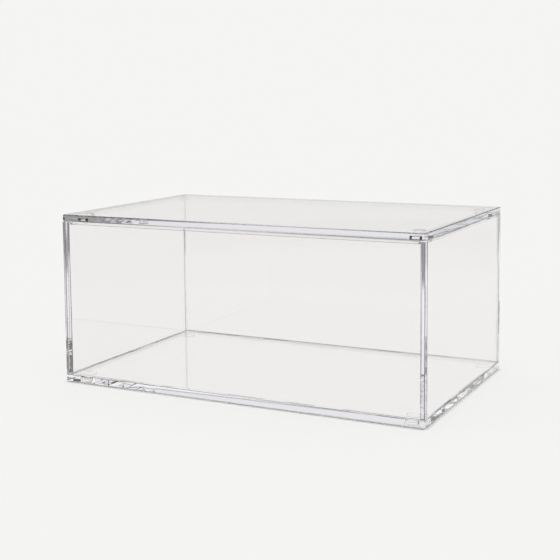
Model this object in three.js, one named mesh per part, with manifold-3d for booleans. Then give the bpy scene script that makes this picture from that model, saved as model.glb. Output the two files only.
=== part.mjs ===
import * as THREE from 'three';
import { mergeVertices } from 'three/addons/utils/BufferGeometryUtils.js';
import Module from 'manifold-3d';

// A frameless display case of clear acrylic sheet for a 1:18 model car.
// A glued open box stands on four clear feet, and the lip strips under a
// lift-off lid drop inside its walls. Millimetres, +Z up, front at -Y,
// origin under the middle of the case at the table.

// Outer size of the closed case, feet included.
const CASE_LENGTH = 340;
const CASE_DEPTH = 207;
const CASE_HEIGHT = 152;

// Sheet thickness of each kind of panel.
const BASE_THICKNESS = 6;
const WALL_THICKNESS = 5;
const LID_THICKNESS = 6;

// Lip strips under the lid, cut from thin sheet and set on edge.
const LIP_WIDTH = 2;
const LIP_HEIGHT = 3;

// Polished 45 degree arris along every edge of each kind of panel.
const BASE_ARRIS = 0.4;
const WALL_ARRIS = 0.5;
const LID_ARRIS = 0.8;
const LIP_ARRIS = 0.3;

// Joint lines: solvent cement between bonded panels, and the loose lid on the wall tops.
const CEMENT_LINE = 0.1;
const LID_SEAT_GAP = 0.1;
const LIP_CLEARANCE = 0.5;

// Clear studs let into the underside of the lid, one in each corner.
const STUD_DIAMETER = 10;
const STUD_SOCKET_DEPTH = 2;
const STUD_CLEARANCE = 0.3;
const STUD_CHAMFER = 0.35;
const STUD_DROP = 3.1;
const STUD_INSET_X = 12.9;
const STUD_INSET_Y = 23;

// Clear plug feet, sunk into blind pockets in the underside of the base.
const FOOT_DIAMETER = 12;
const FOOT_STANDOFF = 1;
const FOOT_POCKET_DEPTH = 2.8;
const FOOT_CLEARANCE = 0.3;
const FOOT_EDGE_RADIUS = 0.6;
const FOOT_INSET_X = 14.5;
const FOOT_INSET_Y = 18;

// Facets of a full circle, and of the quarter round under a foot.
const ROUND_SEGMENTS = 64;
const EDGE_SEGMENTS = 4;

// Levels from the table up.
const baseBottom = FOOT_STANDOFF;
const baseTop = baseBottom + BASE_THICKNESS;
const wallBottom = baseTop + CEMENT_LINE;
const lidTop = CASE_HEIGHT;
const lidBottom = lidTop - LID_THICKNESS;
const wallTop = lidBottom - LID_SEAT_GAP;
const lipTop = lidBottom - CEMENT_LINE;
const lipBottom = lipTop - LIP_HEIGHT;

// The opening between the walls, which the side walls and the lip fit.
const openingLength = CASE_LENGTH - 2 * WALL_THICKNESS;
const openingDepth = CASE_DEPTH - 2 * WALL_THICKNESS;
const wallHeight = wallTop - wallBottom;

const wasm = await Module();
wasm.setup();

const acrylic = (tint) => new THREE.MeshStandardMaterial({
  color: tint,
  roughness: 0.03,
  metalness: 0,
  transparent: true,
  opacity: 0.25,
});

const ACRYLIC_TINT = '#eef2f2';
const STUD_TINT = '#f4f6f6';
const FOOT_TINT = '#e6e9e8';

// A sheet lying flat, centred on the origin, with an arris along every edge.
function sheet(length, depth, thickness, arris) {
  const x = length / 2 - arris;
  const y = depth / 2 - arris;
  const cornerCut = arris * (2 - Math.SQRT2);
  const outline = new THREE.Shape();
  outline.moveTo(-x + cornerCut, -y);
  outline.lineTo(x - cornerCut, -y);
  outline.lineTo(x, -y + cornerCut);
  outline.lineTo(x, y - cornerCut);
  outline.lineTo(x - cornerCut, y);
  outline.lineTo(-x + cornerCut, y);
  outline.lineTo(-x, y - cornerCut);
  outline.lineTo(-x, -y + cornerCut);
  const geometry = new THREE.ExtrudeGeometry(outline, {
    depth: thickness - 2 * arris,
    bevelEnabled: true,
    bevelThickness: arris,
    bevelSize: arris,
    bevelSegments: 1,
  });
  geometry.translate(0, 0, arris - thickness / 2);
  return geometry;
}

// A round bar standing on Z = 0, for cutting sockets and pockets.
function cutter(radius, height) {
  const geometry = new THREE.CylinderGeometry(radius, radius, height, ROUND_SEGMENTS);
  geometry.rotateX(Math.PI / 2);
  geometry.translate(0, 0, height / 2);
  return geometry;
}

// A solid of revolution about Z from a profile that starts and ends on the axis.
function turned(profile) {
  const geometry = new THREE.LatheGeometry(profile, ROUND_SEGMENTS);
  geometry.rotateX(Math.PI / 2);
  return geometry;
}

function toSolid(geometry) {
  const bare = geometry.clone();
  bare.deleteAttribute('normal');
  bare.deleteAttribute('uv');
  const merged = mergeVertices(bare);
  const count = merged.attributes.position.count;
  const triVerts = merged.index
    ? Uint32Array.from(merged.index.array)
    : Uint32Array.from({ length: count }, (_, i) => i);
  const vertProperties = Float32Array.from(merged.attributes.position.array);
  return new wasm.Manifold(new wasm.Mesh({ numProp: 3, vertProperties, triVerts }));
}

function toGeometry(solid) {
  const mesh = solid.getMesh();
  const geometry = new THREE.BufferGeometry();
  geometry.setAttribute('position', new THREE.BufferAttribute(mesh.vertProperties, 3));
  geometry.setIndex(new THREE.BufferAttribute(mesh.triVerts, 1));
  geometry.computeVertexNormals();
  return geometry;
}

// A sheet with the same round cut at each of the four corner places.
function drilledSheet(plate, tool, corners, cutBottom) {
  let solid = toSolid(plate);
  for (const corner of corners) {
    const cut = tool.clone().translate(corner.x, corner.y, cutBottom);
    solid = solid.subtract(toSolid(cut));
  }
  return toGeometry(solid);
}

// The four corner places at a given inset from the outer faces.
function cornerPlaces(insetX, insetY) {
  const x = CASE_LENGTH / 2 - insetX;
  const y = CASE_DEPTH / 2 - insetY;
  return [
    { name: 'front_left', x: -x, y: -y },
    { name: 'front_right', x, y: -y },
    { name: 'back_right', x, y },
    { name: 'back_left', x: -x, y },
  ];
}

const studPlaces = cornerPlaces(STUD_INSET_X, STUD_INSET_Y);
const footPlaces = cornerPlaces(FOOT_INSET_X, FOOT_INSET_Y);

function named(name, geometry, tint) {
  const mesh = new THREE.Mesh(geometry, acrylic(tint));
  mesh.name = name;
  return mesh;
}

// Base: a full-size plate with a blind pocket for each foot.
function makeBase() {
  const plate = sheet(CASE_LENGTH, CASE_DEPTH, BASE_THICKNESS, BASE_ARRIS);
  const pocket = cutter(FOOT_DIAMETER / 2 + FOOT_CLEARANCE, 2 * FOOT_POCKET_DEPTH);
  const pocketStart = -BASE_THICKNESS / 2 - FOOT_POCKET_DEPTH;
  const base = named('base_plate', drilledSheet(plate, pocket, footPlaces, pocketStart), ACRYLIC_TINT);
  base.position.z = (baseBottom + baseTop) / 2;
  return base;
}

// Feet: a plug in the pocket and a rounded pad that stands on the table.
function makeFeet() {
  const radius = FOOT_DIAMETER / 2;
  const top = FOOT_STANDOFF + FOOT_POCKET_DEPTH - FOOT_CLEARANCE;
  const profile = [new THREE.Vector2(0, 0)];
  for (let i = 0; i <= EDGE_SEGMENTS; i += 1) {
    const angle = (Math.PI / 2) * (i / EDGE_SEGMENTS);
    profile.push(new THREE.Vector2(
      radius - FOOT_EDGE_RADIUS + FOOT_EDGE_RADIUS * Math.sin(angle),
      FOOT_EDGE_RADIUS - FOOT_EDGE_RADIUS * Math.cos(angle),
    ));
  }
  profile.push(new THREE.Vector2(radius, top), new THREE.Vector2(0, top));
  return footPlaces.map((place) => {
    const foot = named(`foot_${place.name}`, turned(profile), FOOT_TINT);
    foot.position.set(place.x, place.y, 0);
    return foot;
  });
}

// Walls: the front and back run the full length, and the sides stand between them.
function makeWalls() {
  const middle = (wallBottom + wallTop) / 2;
  const long = sheet(CASE_LENGTH, wallHeight, WALL_THICKNESS, WALL_ARRIS).rotateX(Math.PI / 2);
  const sideLength = openingDepth - 2 * CEMENT_LINE;
  const side = sheet(sideLength, wallHeight, WALL_THICKNESS, WALL_ARRIS)
    .rotateX(Math.PI / 2)
    .rotateZ(Math.PI / 2);
  const front = named('front_wall', long, ACRYLIC_TINT);
  const back = named('back_wall', long, ACRYLIC_TINT);
  const left = named('left_wall', side, ACRYLIC_TINT);
  const right = named('right_wall', side, ACRYLIC_TINT);
  const faceY = (CASE_DEPTH - WALL_THICKNESS) / 2;
  const faceX = (CASE_LENGTH - WALL_THICKNESS) / 2;
  front.position.set(0, -faceY, middle);
  back.position.set(0, faceY, middle);
  left.position.set(-faceX, 0, middle);
  right.position.set(faceX, 0, middle);
  return [front, back, left, right];
}

// Lid: a full-size plate with a blind socket for each stud.
function makeLidPlate() {
  const plate = sheet(CASE_LENGTH, CASE_DEPTH, LID_THICKNESS, LID_ARRIS);
  const socket = cutter(STUD_DIAMETER / 2 + STUD_CLEARANCE, 2 * STUD_SOCKET_DEPTH);
  const socketStart = -LID_THICKNESS / 2 - STUD_SOCKET_DEPTH;
  const lid = named('lid_plate', drilledSheet(plate, socket, studPlaces, socketStart), ACRYLIC_TINT);
  lid.position.z = (lidBottom + lidTop) / 2;
  return lid;
}

// Lip: four strips under the lid. The front and back run the full opening,
// and the sides fit between them.
function makeLip() {
  const length = openingLength - 2 * LIP_CLEARANCE;
  const depth = openingDepth - 2 * LIP_CLEARANCE;
  const middle = (lipBottom + lipTop) / 2;
  const long = sheet(length, LIP_WIDTH, LIP_HEIGHT, LIP_ARRIS);
  const sideLength = depth - 2 * (LIP_WIDTH + CEMENT_LINE);
  const side = sheet(sideLength, LIP_WIDTH, LIP_HEIGHT, LIP_ARRIS).rotateZ(Math.PI / 2);
  const front = named('lip_front', long, ACRYLIC_TINT);
  const back = named('lip_back', long, ACRYLIC_TINT);
  const left = named('lip_left', side, ACRYLIC_TINT);
  const right = named('lip_right', side, ACRYLIC_TINT);
  const stripY = (depth - LIP_WIDTH) / 2;
  const stripX = (length - LIP_WIDTH) / 2;
  front.position.set(0, -stripY, middle);
  back.position.set(0, stripY, middle);
  left.position.set(-stripX, 0, middle);
  right.position.set(stripX, 0, middle);
  return [front, back, left, right];
}

// Studs: let into the lid plate above, and standing proud of it below.
function makeStuds() {
  const radius = STUD_DIAMETER / 2;
  const top = STUD_DROP + STUD_SOCKET_DEPTH - STUD_CLEARANCE;
  const profile = [
    new THREE.Vector2(0, 0),
    new THREE.Vector2(radius - STUD_CHAMFER, 0),
    new THREE.Vector2(radius, STUD_CHAMFER),
    new THREE.Vector2(radius, top - STUD_CHAMFER),
    new THREE.Vector2(radius - STUD_CHAMFER, top),
    new THREE.Vector2(0, top),
  ];
  return studPlaces.map((place) => {
    const stud = named(`lid_stud_${place.name}`, turned(profile), STUD_TINT);
    stud.position.set(place.x, place.y, lidBottom - STUD_DROP);
    return stud;
  });
}

const box = new THREE.Group();
box.add(makeBase(), ...makeFeet(), ...makeWalls());

const lid = new THREE.Group();
lid.add(makeLidPlate(), ...makeLip(), ...makeStuds());

const displayCase = new THREE.Group();
displayCase.add(box, lid);

export default displayCase;
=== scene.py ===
import math

import bmesh
import bpy
from mathutils import Matrix, Vector


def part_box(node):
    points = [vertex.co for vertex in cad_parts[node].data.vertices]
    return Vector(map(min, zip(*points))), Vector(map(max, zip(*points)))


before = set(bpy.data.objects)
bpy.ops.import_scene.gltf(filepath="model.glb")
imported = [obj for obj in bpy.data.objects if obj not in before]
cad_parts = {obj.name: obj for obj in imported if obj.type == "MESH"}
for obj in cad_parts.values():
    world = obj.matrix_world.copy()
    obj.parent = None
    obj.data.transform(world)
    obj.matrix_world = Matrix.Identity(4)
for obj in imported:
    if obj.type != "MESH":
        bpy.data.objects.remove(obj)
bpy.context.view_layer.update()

# Base plate: a rectangle of 6 mm clear cast acrylic with scraped arrises, its long
# edges polished on a wheel and its short ones by hand, in flats. The walls are
# cemented round the rim of its top face, and a foot is pressed into each corner.
MM = 0.001
ACRYLIC_IOR = 1.49
CLEAR_SHEET = "FDFCFC"
# Grey of the base's scraped arrises, a painted shade that draws its edge lines.
SCRAPED_BASE_SHADE = "BEBEC2"
SCRAPED_ROUGHNESS = (0.08, 0.16)
# A scraper's chatter is about 0.3 mm, too fine to show, so it is drawn coarser.
CHATTER_MM = 1.5
RIPPLE_LENGTH_MM = 60
RIPPLE_DEPTH_MM = 0.01
WHEEL_PASS_MM = 30
BASE_WAVE_MM = 0.6
FLAT_LENGTH_MM = 30
FLAT_LEAN = 0.09
CEMENT_RUN_MM = 50
CEMENT_SHARE = 0.5
ARRIS_SLOPE = math.sqrt(0.5)
ARRIS_SPREAD = 0.25
CUT_EDGE_SLOPE = 0.1
SQUARE_ON = 0.9


def linear(hex_colour):
    """Turns an sRGB hex colour into linear RGBA."""
    parts = [int(hex_colour[i:i + 2], 16) / 255 for i in (0, 2, 4)]
    return [p / 12.92 if p <= 0.04045 else ((p + 0.055) / 1.055) ** 2.4 for p in parts] + [1.0]


def add_node(tree, kind, inputs=None, **settings):
    """Adds a node with its settings, and fills its sockets with values, sockets or other nodes."""
    made = tree.nodes.new("ShaderNode" + kind)
    for name, value in settings.items():
        setattr(made, name, value)
    for socket, value in (inputs or {}).items():
        if isinstance(value, bpy.types.Node):
            value = next(out for out in value.outputs if out.enabled)
        if isinstance(value, bpy.types.NodeSocket):
            tree.links.new(value, made.inputs[socket])
        else:
            made.inputs[socket].default_value = value
    return made


def new_material(name):
    """Starts an empty node material and returns it with its tree."""
    made = bpy.data.materials.new(name)
    made.use_nodes = True
    made.node_tree.nodes.clear()
    return made, made.node_tree


def give_material(node_name, material):
    """Puts a finish on a CAD piece."""
    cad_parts[node_name].material_slots[0].material = material


def cast_acrylic(name, thickness, scraped_shade, wave_mm=0, joint=None, dull_and_shaded=None, flats=None):
    """Clear cast acrylic whose thickness runs along one axis.

    The cast faces have a long faint ripple. The cut edges keep the slow wave of
    the polishing wheel, which breaks what shines through them into bright and
    dark patches. The arrises, left dull by the scraper, take the given colour as a
    painted shade that draws a line along each edge. Where the solvent has wetted
    a cemented joint the two pieces are one, so the joint has no surface of its
    own there, and the dry runs between shine like a mirror. Three functions may be
    given: joint says where a piece is cemented, the next where it is dull and
    painted with shade, and flats where it was polished by hand in flats, not on the wheel.
    """
    made, tree = new_material(name)
    spot = add_node(tree, "TexCoord").outputs["Object"]
    surface = add_node(tree, "NewGeometry").outputs
    # Inside the sheet the normal is turned to the light, so it is turned back.
    sign = add_node(tree, "Math", {0: surface["Backfacing"], 1: -2.0, 2: 1.0}, operation="MULTIPLY_ADD")
    normal = add_node(tree, "VectorMath", {0: surface["True Normal"], "Scale": sign}, operation="SCALE")
    way = add_node(tree, "SeparateXYZ", {"Vector": normal}).outputs
    flat = add_node(tree, "Math", {0: way[thickness]}, operation="ABSOLUTE")
    arris = add_node(tree, "Math", {0: flat, 1: ARRIS_SLOPE, 2: ARRIS_SPREAD}, operation="COMPARE")
    if dull_and_shaded:
        arris = dull_and_shaded(tree, arris, way)
    edge = add_node(tree, "Math", {0: flat, 1: CUT_EDGE_SLOPE}, operation="LESS_THAN")
    # Sockets 6 and 7 of a Mix node are the two colours that it mixes.
    # The arrises take the scraped colour, a painted shade that draws a line along each edge.
    tint = add_node(tree, "Mix", {0: arris, 6: linear(CLEAR_SHEET), 7: linear(scraped_shade)}, data_type="RGBA")
    chatter = add_node(tree, "TexNoise", {"Vector": spot, "Scale": 1 / (CHATTER_MM * MM)})
    chatter = add_node(tree, "MapRange", {
        "Value": chatter,
        "To Min": SCRAPED_ROUGHNESS[0],
        "To Max": SCRAPED_ROUGHNESS[1],
    })
    rough = add_node(tree, "Math", {0: arris, 1: chatter}, operation="MULTIPLY")
    along_edge = [1 / (WHEEL_PASS_MM * MM)] * 3
    along_edge["XYZ".index(thickness)] = 0
    passes = add_node(tree, "VectorMath", {0: spot, 1: along_edge}, operation="MULTIPLY")
    passes = add_node(tree, "TexNoise", {"Vector": passes, "Scale": 1.0, "Detail": 0.0})
    passes = add_node(tree, "Math", {0: passes, 1: wave_mm}, operation="MULTIPLY")
    passes = add_node(tree, "Math", {0: passes, 1: edge}, operation="MULTIPLY")
    slope = surface["Normal"]
    if flats:
        short, lean = flats(tree, spot, way)
        waved = add_node(tree, "Math", {0: 1.0, 1: short}, operation="SUBTRACT")
        passes = add_node(tree, "Math", {0: passes, 1: waved}, operation="MULTIPLY")
        short = add_node(tree, "Math", {0: short, 1: sign}, operation="MULTIPLY")
        lean = add_node(tree, "VectorMath", {0: lean, "Scale": short}, operation="SCALE")
        slope = add_node(tree, "VectorMath", {0: slope, 1: lean}, operation="ADD")
        slope = add_node(tree, "VectorMath", {0: slope}, operation="NORMALIZE")
    ripple = add_node(tree, "TexNoise", {
        "Vector": spot,
        "Scale": 1 / (RIPPLE_LENGTH_MM * MM),
        "Detail": 0.0,
    })
    relief = add_node(tree, "Math", {0: ripple, 1: RIPPLE_DEPTH_MM, 2: passes}, operation="MULTIPLY_ADD")
    relief = add_node(tree, "Bump", {
        "Height": relief,
        "Distance": MM,
        "Strength": 1.0,
        "Normal": slope,
    })
    ior = ACRYLIC_IOR
    if joint:
        wetted = joint(tree, spot, way)
        ior = add_node(tree, "MapRange", {"Value": wetted, "To Min": ACRYLIC_IOR, "To Max": 1.0})
    shader = add_node(tree, "BsdfPrincipled", {
        "Base Color": tint,
        "Roughness": rough,
        "Normal": relief,
        "IOR": ior,
        "Transmission Weight": 1.0,
    })
    add_node(tree, "OutputMaterial", {"Surface": shader})
    return made


def past_sides(tree, spot, half_length, half_depth):
    """How far a spot is past the sides of a rectangle about the middle, along each axis."""
    past = add_node(tree, "VectorMath", {0: spot}, operation="ABSOLUTE")
    return add_node(tree, "VectorMath", {0: past, 1: (half_length, half_depth, 0)}, operation="SUBTRACT")


def outside_rectangle(tree, spot, half_length, half_depth):
    """What lies outside a rectangle about the middle of the case, seen from above."""
    past = past_sides(tree, spot, half_length, half_depth)
    past = add_node(tree, "SeparateXYZ", {"Vector": past}).outputs
    past = add_node(tree, "Math", {0: past["X"], 1: past["Y"]}, operation="MAXIMUM")
    return add_node(tree, "Math", {0: past, 1: 0.0}, operation="GREATER_THAN")


def cement_runs(tree, spot, face):
    """The patches of a joint's face that the solvent has wetted."""
    runs = add_node(tree, "TexNoise", {
        "Vector": spot,
        "Scale": 1 / (CEMENT_RUN_MM * MM),
        "Detail": 0.0,
    })
    runs = add_node(tree, "Math", {0: runs, 1: CEMENT_SHARE}, operation="LESS_THAN")
    return add_node(tree, "Math", {0: runs, 1: face}, operation="MULTIPLY")


def base_rim(tree, spot, way):
    """The rim of the base's top face, which the walls stand on."""
    rim = outside_rectangle(tree, spot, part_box("right_wall")[0][0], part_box("back_wall")[0][1])
    top = add_node(tree, "Math", {0: way["Z"], 1: SQUARE_ON}, operation="GREATER_THAN")
    rim = add_node(tree, "Math", {0: rim, 1: top}, operation="MULTIPLY")
    return cement_runs(tree, spot, rim)


def short_edge_flats(tree, spot, way):
    """The short edges, and which way each flat along them leans."""
    short = add_node(tree, "Math", {0: way["X"]}, operation="ABSOLUTE")
    short = add_node(tree, "Math", {0: short, 1: SQUARE_ON}, operation="GREATER_THAN")
    along = 1 / (FLAT_LENGTH_MM * MM)
    flat = add_node(tree, "VectorMath", {0: spot, 1: (along, along, 0)}, operation="MULTIPLY")
    flat = add_node(tree, "TexVoronoi", {"Vector": flat, "Scale": 1.0}).outputs["Color"]
    lean = add_node(tree, "VectorMath", {
        0: flat,
        1: [2 * FLAT_LEAN] * 3,
        2: [-FLAT_LEAN] * 3,
    }, operation="MULTIPLY_ADD")
    return short, lean


give_material("base_plate", cast_acrylic(
    "cast_acrylic_base",
    "Z",
    SCRAPED_BASE_SHADE,
    BASE_WAVE_MM,
    joint=base_rim,
    flats=short_edge_flats,
))

# Feet: four clear polyurethane plugs, moulded round with a soft lower edge and
# pressed into blind pockets in the base. They hold it a millimetre off the
# table, and their skin has the fine bloom of soft moulded plastic.
CORNERS = ("front_left", "front_right", "back_right", "back_left")
CLEAR_SOFT = "FAFAF8"
SOFT_IOR = 1.48
# Bloom is under 0.1 mm, too fine to show, so it is drawn coarser.
BLOOM_GRAIN_MM = 0.6
BLOOM_DEPTH_MM = 0.004
BLOOM_ROUGHNESS = (0.01, 0.05)

soft_clear, tree = new_material("clear_polyurethane")
spot = add_node(tree, "TexCoord").outputs["Object"]
bloom = add_node(tree, "TexNoise", {"Vector": spot, "Scale": 1 / (BLOOM_GRAIN_MM * MM)})
haze = add_node(tree, "MapRange", {
    "Value": bloom,
    "To Min": BLOOM_ROUGHNESS[0],
    "To Max": BLOOM_ROUGHNESS[1],
})
skin = add_node(tree, "Bump", {"Height": bloom, "Distance": BLOOM_DEPTH_MM * MM, "Strength": 1.0})
shader = add_node(tree, "BsdfPrincipled", {
    "Base Color": linear(CLEAR_SOFT),
    "Roughness": haze,
    "Normal": skin,
    "IOR": SOFT_IOR,
    "Transmission Weight": 1.0,
})
add_node(tree, "OutputMaterial", {"Surface": shader})
for corner in CORNERS:
    give_material("foot_" + corner, soft_clear)

# Walls: four upright sheets of 5 mm clear cast acrylic. The front and back run
# the full length, the sides fit between them, and all stand on the base's rim,
# cemented in patches. Their scraped arrises carry a dark grey painted shade; the
# front and right ones have their level arrises left clear of it.
# Dark grey of the walls' scraped arrises, a painted shade that draws their dark edge lines.
SCRAPED_WALL_SHADE = "6E6E72"
WALL_WAVE_MM = 0.25


def wall_foot(tree, spot, way):
    """The bottom edge of a wall, which is cemented to the base."""
    foot = add_node(tree, "Math", {0: way["Z"], 1: -SQUARE_ON}, operation="LESS_THAN")
    return cement_runs(tree, spot, foot)


def standing_upright(tree, way):
    """What stands upright, on any side."""
    return add_node(tree, "Math", {0: way["Z"], 1: 0.0, 2: CUT_EDGE_SLOPE}, operation="COMPARE")


def upright_arris(tree, arris, way):
    """The upright arrises alone, so that the level ones are left clear of roughness and of painted shade.
    """
    return add_node(tree, "Math", {0: arris, 1: standing_upright(tree, way)}, operation="MULTIPLY")


for name, thickness, dull_and_shaded in (
    ("front_wall", "Y", upright_arris),
    ("back_wall", "Y", None),
    ("right_wall", "X", upright_arris),
    ("left_wall", "X", None),
):
    sheet_name = "cast_acrylic_" + name
    wall_sheet = cast_acrylic(sheet_name, thickness, SCRAPED_WALL_SHADE, WALL_WAVE_MM, wall_foot, dull_and_shaded)
    give_material(name, wall_sheet)

# Lid plate: a loose 6 mm plate of the same sheet, flush with the walls and
# resting on their tops. Its edges were polished last and most evenly, so they
# shine through in longer and calmer stretches than the base's.
# Grey of the lid's scraped arrises, a painted shade that draws its edge lines; the lips and the back left
# stud take it too.
SCRAPED_LID_SHADE = "B0B0B4"
LID_WAVE_MM = 0.2
SOCKETS_FROM_EDGE_MM = 2


def socket_walls(tree, spot, way):
    """The round walls of the sockets, which the studs are cemented into."""
    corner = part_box("lid_plate")[1]
    margin = SOCKETS_FROM_EDGE_MM * MM
    rim = outside_rectangle(tree, spot, corner[0] - margin, corner[1] - margin)
    inside = add_node(tree, "Math", {0: 1.0, 1: rim}, operation="SUBTRACT")
    return add_node(tree, "Math", {0: inside, 1: standing_upright(tree, way)}, operation="MULTIPLY")


give_material("lid_plate", cast_acrylic("cast_acrylic_lid", "Z", SCRAPED_LID_SHADE, LID_WAVE_MM, socket_walls))

# Lip strips: four thin strips of clear acrylic cemented on edge under the lid.
# They drop just inside the walls and stop the lid from sliding off. They are
# cut from the same sheet as the walls, with lightly broken corners.
LIP_WAVE_MM = 0.1

# The lips' broken corners take the lid's grey painted shade.
for thickness, names in (("Y", ("lip_front", "lip_back")), ("X", ("lip_left", "lip_right"))):
    lip_sheet = cast_acrylic("cast_acrylic_lip_" + thickness.lower(), thickness, SCRAPED_LID_SHADE, LIP_WAVE_MM)
    for name in names:
        give_material(name, lip_sheet)

# Lid studs: four short pieces of clear acrylic rod cemented into blind sockets in
# the underside of the lid, near its corners. On three the turned chamfer and a
# crescent on either side take a near black painted shade. The back left one has
# only the lid's grey painted shade on its chamfers.
# Near black painted shade for the studs' chamfers and side crescents.
PAINTED_ROD_SHADE = "0C0C0D"
CRESCENT_SLOPE = 0.8


def seated_end(tree, spot, way):
    """The end of a stud that is cemented into the lid."""
    level = add_node(tree, "SeparateXYZ", {"Vector": spot}).outputs["Z"]
    return add_node(tree, "Math", {0: level, 1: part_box("lid_plate")[0][2]}, operation="GREATER_THAN")


def painted_shade_crescents(tree, arris, way):
    """The chamfers, and the two sides of a stud that face along X, which take a near black painted shade.
    """
    side = add_node(tree, "Math", {0: way["X"]}, operation="ABSOLUTE")
    side = add_node(tree, "Math", {0: side, 1: CRESCENT_SLOPE}, operation="GREATER_THAN")
    return add_node(tree, "Math", {0: arris, 1: side}, operation="MAXIMUM")


rod_painted_black = cast_acrylic("turned_acrylic_rod", "Z", PAINTED_ROD_SHADE, joint=seated_end, dull_and_shaded=painted_shade_crescents)
rod_painted_grey = cast_acrylic("turned_acrylic_rod_painted_grey", "Z", SCRAPED_LID_SHADE, joint=seated_end)
for corner in CORNERS:
    give_material("lid_stud_" + corner, rod_painted_grey if corner == "back_left" else rod_painted_black)

# Studio: the case stands in a soft even light before pale paper. Clear sheet
# shows what is round it: the paper behind, a pale card low at the front left,
# and the grey room between them, which draws the edges of the sheets.
SET_AZIMUTH = math.radians(26.83)
AWAY = (-math.sin(SET_AZIMUTH), math.cos(SET_AZIMUTH), 0)
NEAR_LEFT = (-math.sin(SET_AZIMUTH), -math.cos(SET_AZIMUTH), 0)
# What the sheets show, by where light comes from and how often it was turned inside them.
BACKDROP = linear("F5F5F3")
MIRRORED = linear("E9E8E6")
PAPER = linear("E6E7EB")
PAPER_TURNED_ONCE = linear("F6F6F4")
CARD = linear("DADCE2")
ROOM_LOW = linear("959595")
ROOM_HIGH = linear("595959")
ROOM_TURNED_TWICE = linear("DCDCDA")
CEILING = linear("7C7C7C")
# The light that falls on the floor, as from a tent that is brighter overhead.
TENT_SIDE = (0.58, 0.58, 0.58, 1)
TENT_TOP = (1.34, 1.34, 1.34, 1)
CEILING_FROM = math.radians(42)
ROOM_RISE = math.radians(11)
PAPER_TOP = math.radians(20)
PAPER_HALF = math.radians(61.6)
CARD_TOP = math.radians(9.5)
CARD_HALF = math.radians(40)
PLAIN_TOP = math.radians(7)
# Half the width of a soft border, in the sine or cosine of its angle.
SOFT_LINE = 0.01
SOFT_RISE = 0.02
# Limits between whole numbers of turns, for Light Path's count of them.
UNTURNED = 0.5
TURNED_ONCE = 1.5
TURNED_TWICE = 2.5

scene = bpy.context.scene
world = bpy.data.worlds.new("studio")
scene.world = world
world.use_nodes = True
world.cycles.sampling_method = "NONE"
sky = world.node_tree
sky.nodes.clear()
facing = add_node(sky, "TexCoord").outputs["Generated"]
height = add_node(sky, "SeparateXYZ", {"Vector": facing}).outputs["Z"]
path = add_node(sky, "LightPath").outputs


def board(toward, half_width, top):
    """The share of a low board that stands in one direction, up to a height."""
    ahead = add_node(sky, "VectorMath", {0: facing, 1: toward}, operation="DOT_PRODUCT")
    wide = add_node(sky, "MapRange", {
        "Value": ahead,
        "From Min": math.cos(half_width) - SOFT_LINE,
        "From Max": math.cos(half_width) + SOFT_LINE,
    })
    low = add_node(sky, "MapRange", {
        "Value": height,
        "From Min": math.sin(top) + SOFT_LINE,
        "From Max": math.sin(top) - SOFT_LINE,
    })
    return add_node(sky, "Math", {0: wide, 1: low}, operation="MULTIPLY")


high = add_node(sky, "MapRange", {
    "Value": height,
    "From Min": math.sin(ROOM_RISE) - SOFT_RISE,
    "From Max": math.sin(ROOM_RISE) + SOFT_RISE,
})
overhead = add_node(sky, "MapRange", {
    "Value": height,
    "From Min": math.sin(CEILING_FROM) - SOFT_LINE,
    "From Max": math.sin(CEILING_FROM) + SOFT_LINE,
})
once = add_node(sky, "Math", {0: path["Glossy Depth"], 1: TURNED_ONCE}, operation="LESS_THAN")
twice = add_node(sky, "Math", {0: path["Glossy Depth"], 1: TURNED_TWICE}, operation="LESS_THAN")
paper_tone = add_node(sky, "Mix", {0: once, 6: PAPER, 7: PAPER_TURNED_ONCE}, data_type="RGBA")
mirror = add_node(sky, "Math", {
    0: path["Is Reflection Ray"],
    1: path["Is Glossy Ray"],
}, operation="MULTIPLY")
mirror = add_node(sky, "Math", {0: mirror, 1: overhead}, operation="SUBTRACT", use_clamp=True)
straight = add_node(sky, "Math", {0: path["Glossy Depth"], 1: UNTURNED}, operation="LESS_THAN")
level = add_node(sky, "Math", {0: height, 1: math.sin(PLAIN_TOP)}, operation="LESS_THAN")
straight = add_node(sky, "Math", {0: straight, 1: level}, operation="MULTIPLY")
straight = add_node(sky, "Math", {0: straight, 1: path["Is Transmission Ray"]}, operation="MULTIPLY")
straight = add_node(sky, "Math", {0: straight, 1: path["Is Camera Ray"]}, operation="MAXIMUM")
lighting = add_node(sky, "Math", {0: path["Diffuse Depth"], 1: UNTURNED}, operation="GREATER_THAN")
tent = add_node(sky, "Mix", {0: overhead, 6: TENT_SIDE, 7: TENT_TOP}, data_type="RGBA")
seen = ROOM_LOW
for share, tone in (
    (high, ROOM_HIGH),
    (twice, ROOM_TURNED_TWICE),
    (board(AWAY, PAPER_HALF, PAPER_TOP), paper_tone),
    (board(NEAR_LEFT, CARD_HALF, CARD_TOP), CARD),
    (overhead, CEILING),
    (mirror, MIRRORED),
    (straight, BACKDROP),
    (lighting, tent),
):
    seen = add_node(sky, "Mix", {0: share, 6: seen, 7: tone}, data_type="RGBA")
light = add_node(sky, "Background", {"Color": seen, "Strength": 1.0})
add_node(sky, "OutputWorld", {"Surface": light})

# Studio floor: one wide sheet of pale matt paper, which keeps the case's
# shadow and the dark line under its edge. To light that has been turned inside
# a sheet it is white near the case, then grey, then pale again behind it.
FLOOR_HALF_M = 6.0
TABLE_TONE = linear("F8F9FC")
ROOM_FLOOR = linear("8C8C8F")
GAP_FLOOR = linear("A2A2A5")
FLOOR_TURNED_ONCE = linear("E8E7E5")
LEFT_TURNED_ONCE = linear("B4B4B8")
TABLE_EDGE_M = 0.66
TABLE_FADE_M = 0.05
PAPER_START_M = 1.1
PAPER_FADE_M = 0.1
BEHIND_HALF = math.radians(46)
SECTOR_FADE = 0.05
PAPER_GLOW = 0.82
SHEET_GLOW = 0.95
CONTACT_FROM_MM = 0.5
CONTACT_TO_MM = 3

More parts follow.
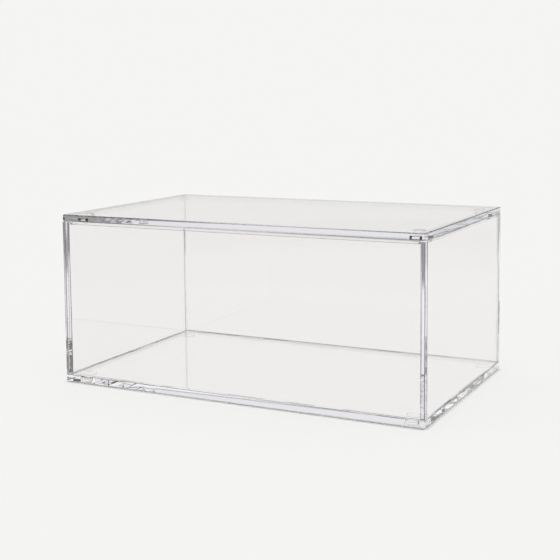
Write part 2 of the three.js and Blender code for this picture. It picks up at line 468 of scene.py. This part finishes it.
floor_mesh = bpy.data.meshes.new("floor")
floor_sheet = bmesh.new()
bmesh.ops.create_grid(floor_sheet, x_segments=1, y_segments=1, size=FLOOR_HALF_M)
floor_sheet.to_mesh(floor_mesh)
floor_sheet.free()
floor = bpy.data.objects.new("floor", floor_mesh)
scene.collection.objects.link(floor)
pale_paper, tree = new_material("pale_paper")
path = add_node(tree, "LightPath").outputs
spot = add_node(tree, "TexCoord").outputs["Object"]
reach = add_node(tree, "VectorMath", {0: spot}, operation="LENGTH")
along = add_node(tree, "VectorMath", {0: spot}, operation="NORMALIZE")
on_table = add_node(tree, "MapRange", {
    "Value": reach,
    "From Min": TABLE_EDGE_M + TABLE_FADE_M,
    "From Max": TABLE_EDGE_M - TABLE_FADE_M,
})
far_off = add_node(tree, "MapRange", {
    "Value": reach,
    "From Min": PAPER_START_M - PAPER_FADE_M,
    "From Max": PAPER_START_M + PAPER_FADE_M,
})
sectors = []
for toward, half_angle in ((AWAY, BEHIND_HALF), (NEAR_LEFT, CARD_HALF)):
    ahead = add_node(tree, "VectorMath", {0: along, 1: toward}, operation="DOT_PRODUCT")
    sectors.append(add_node(tree, "MapRange", {
        "Value": ahead,
        "From Min": math.cos(half_angle) - SECTOR_FADE,
        "From Max": math.cos(half_angle) + SECTOR_FADE,
    }))
behind, near_left = sectors
behind_far = add_node(tree, "Math", {0: behind, 1: far_off}, operation="MULTIPLY")
once = add_node(tree, "Math", {0: path["Glossy Depth"], 1: TURNED_ONCE}, operation="LESS_THAN")
left_once = add_node(tree, "Math", {0: near_left, 1: on_table}, operation="SUBTRACT", use_clamp=True)
left_once = add_node(tree, "Math", {0: left_once, 1: once}, operation="MULTIPLY")
unturned = add_node(tree, "Math", {0: path["Glossy Depth"], 1: UNTURNED}, operation="LESS_THAN")
outside = add_node(tree, "Math", {0: 1.0, 1: path["Is Transmission Ray"]}, operation="SUBTRACT")
plain = add_node(tree, "Math", {0: unturned, 1: outside}, operation="MAXIMUM")
tone = ROOM_FLOOR
for share, colour in (
    (behind, GAP_FLOOR),
    (behind_far, PAPER),
    (near_left, CARD),
    (on_table, TABLE_TONE),
    (once, FLOOR_TURNED_ONCE),
    (left_once, LEFT_TURNED_ONCE),
    (plain, BACKDROP),
):
    tone = add_node(tree, "Mix", {0: share, 6: tone, 7: colour}, data_type="RGBA")
base_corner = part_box("base_plate")[1]
past = past_sides(tree, spot, base_corner[0], base_corner[1])
past = add_node(tree, "VectorMath", {0: past, 1: (0, 0, 0)}, operation="MAXIMUM")
past = add_node(tree, "VectorMath", {0: past}, operation="LENGTH")
clear_of_base = add_node(tree, "MapRange", {
    "Value": past,
    "From Min": CONTACT_FROM_MM * MM,
    "From Max": CONTACT_TO_MM * MM,
})
direct = add_node(tree, "Math", {0: path["Is Camera Ray"], 1: PAPER_GLOW}, operation="MULTIPLY")
direct = add_node(tree, "Math", {0: direct, 1: clear_of_base}, operation="MULTIPLY")
through = add_node(tree, "Math", {
    0: path["Is Transmission Ray"],
    1: path["Is Glossy Ray"],
}, operation="MAXIMUM")
through = add_node(tree, "Math", {0: through, 1: SHEET_GLOW}, operation="MULTIPLY")
glow_share = add_node(tree, "Math", {0: through, 1: direct}, operation="MAXIMUM")
in_view = add_node(tree, "Math", {0: path["Diffuse Depth"], 1: UNTURNED}, operation="LESS_THAN")
glow_share = add_node(tree, "Math", {0: glow_share, 1: in_view}, operation="MULTIPLY")
matt = add_node(tree, "BsdfDiffuse", {"Color": tone})
glow = add_node(tree, "Emission", {"Color": tone})
both = add_node(tree, "MixShader", {0: glow_share, 1: matt, 2: glow})
add_node(tree, "OutputMaterial", {"Surface": both})
floor_mesh.materials.append(pale_paper)

# Camera: on a tripod in front of the case's right half, a little above the
# lid. The lens is shifted down, which keeps the uprights nearly parallel, and
# the tripod head leans by half a degree.
CAMERA_PLACE = Vector((448.1, -895.3, 261.0)) * MM
CAMERA_PITCH = math.radians(5.67)
CAMERA_ROLL = math.radians(-0.528)
SENSOR_MM = 36.0
FRAME_PIXELS = 560
FOCAL_PIXELS = 1113.7
PRINCIPAL_ROW = 200
# Light runs along inside a sheet by many turns before it comes out of an edge.
SHEET_TURNS = 128
# Less blur than usual, so that the sheets let the light through to the floor.
FLOOR_LIGHT_BLUR = 0.3

camera = bpy.data.objects.new("camera", bpy.data.cameras.new("camera"))
camera.data.sensor_width = SENSOR_MM
camera.data.lens = FOCAL_PIXELS / FRAME_PIXELS * SENSOR_MM
camera.data.shift_y = (PRINCIPAL_ROW - FRAME_PIXELS / 2) / FRAME_PIXELS
turn = Matrix.Rotation(SET_AZIMUTH, 4, "Z")
tilt = Matrix.Rotation(math.pi / 2 - CAMERA_PITCH, 4, "X")
roll = Matrix.Rotation(CAMERA_ROLL, 4, "Z")
camera.matrix_world = Matrix.Translation(CAMERA_PLACE) @ turn @ tilt @ roll
scene.collection.objects.link(camera)
scene.camera = camera
scene.view_settings.view_transform = "Standard"
scene.cycles.max_bounces = SHEET_TURNS
scene.cycles.glossy_bounces = SHEET_TURNS
scene.cycles.transmission_bounces = SHEET_TURNS
scene.cycles.blur_glossy = FLOOR_LIGHT_BLUR
